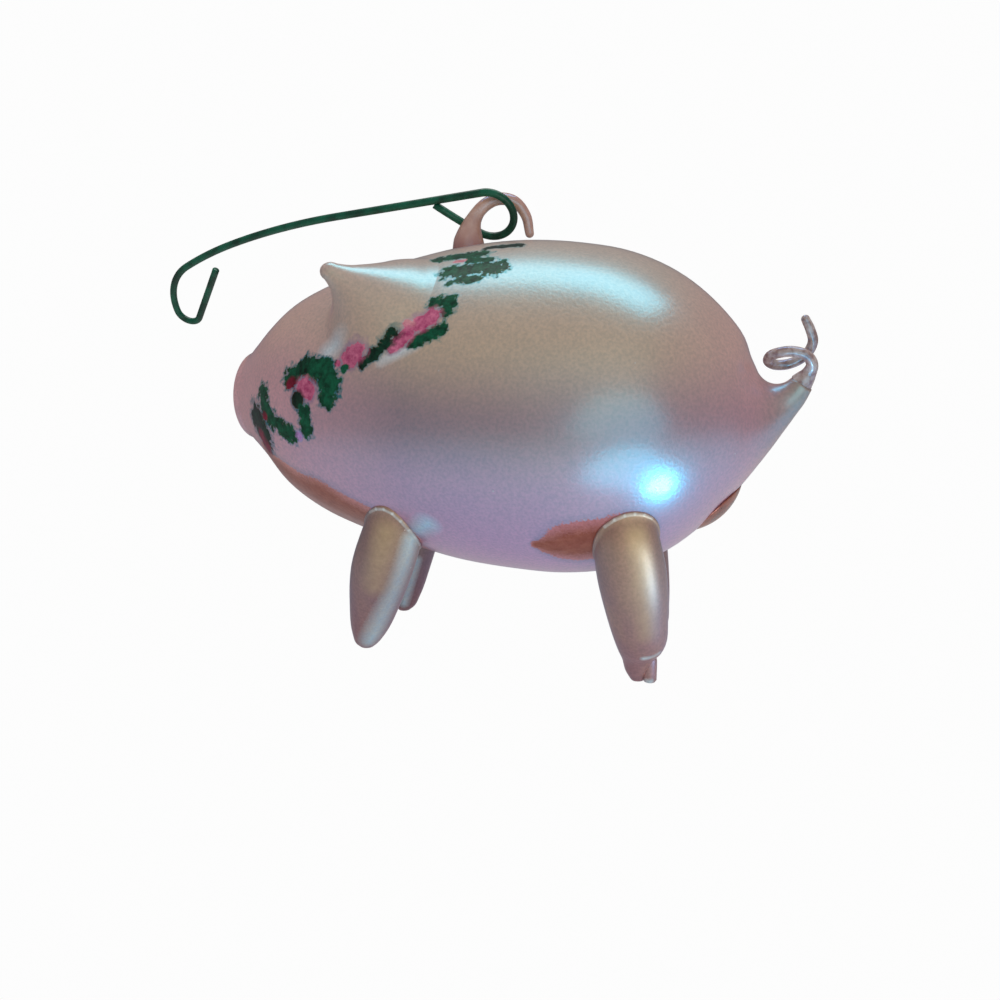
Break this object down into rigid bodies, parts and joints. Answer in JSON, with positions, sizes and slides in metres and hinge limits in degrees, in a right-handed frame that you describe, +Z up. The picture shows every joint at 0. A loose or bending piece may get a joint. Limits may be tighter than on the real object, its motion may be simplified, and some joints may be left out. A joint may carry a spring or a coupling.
{
  "type": "pig figurine",
  "caption": "Blown glass pig ornament with pulled ears, drop-shaped legs and a curled tail, on a swinging bent wire hanger.",
  "frame": {"origin": "middle of the whole ornament seen from above, hanger included, at the height the feet stand on", "axes": "+X from the snout to the tail, +Y to the pig's right side, +Z up"},
  "size_m": [0.1056, 0.0466, 0.0661],
  "materials": {
    "pearl_glass": "satin pearl",
    "rod_glass": "gloss",
    "seal_glass": "gloss",
    "green_wire": "gloss"
  },
  "bodies": {
    "pig": {"body_shell": "pearl_glass", "ear_left": "pearl_glass", "ear_right": "pearl_glass", "leg_front_left": "pearl_glass", "leg_front_right": "pearl_glass", "leg_rear_left": "pearl_glass", "leg_rear_right": "pearl_glass", "tail_curl": "rod_glass", "hanging_crook": "rod_glass", "blowing_seal": "seal_glass"},
    "hanger": {"wire_hanger": "green_wire"}
  },
  "joints": [
    {"name": "hanger_swing", "type": "hinge", "parent": "pig", "child": "hanger", "pos_m": [0.00671, 0.0008, 0.06318], "axis": [0, 0.8192, 0.5736], "range_deg": [-22, 165]}
  ]
}
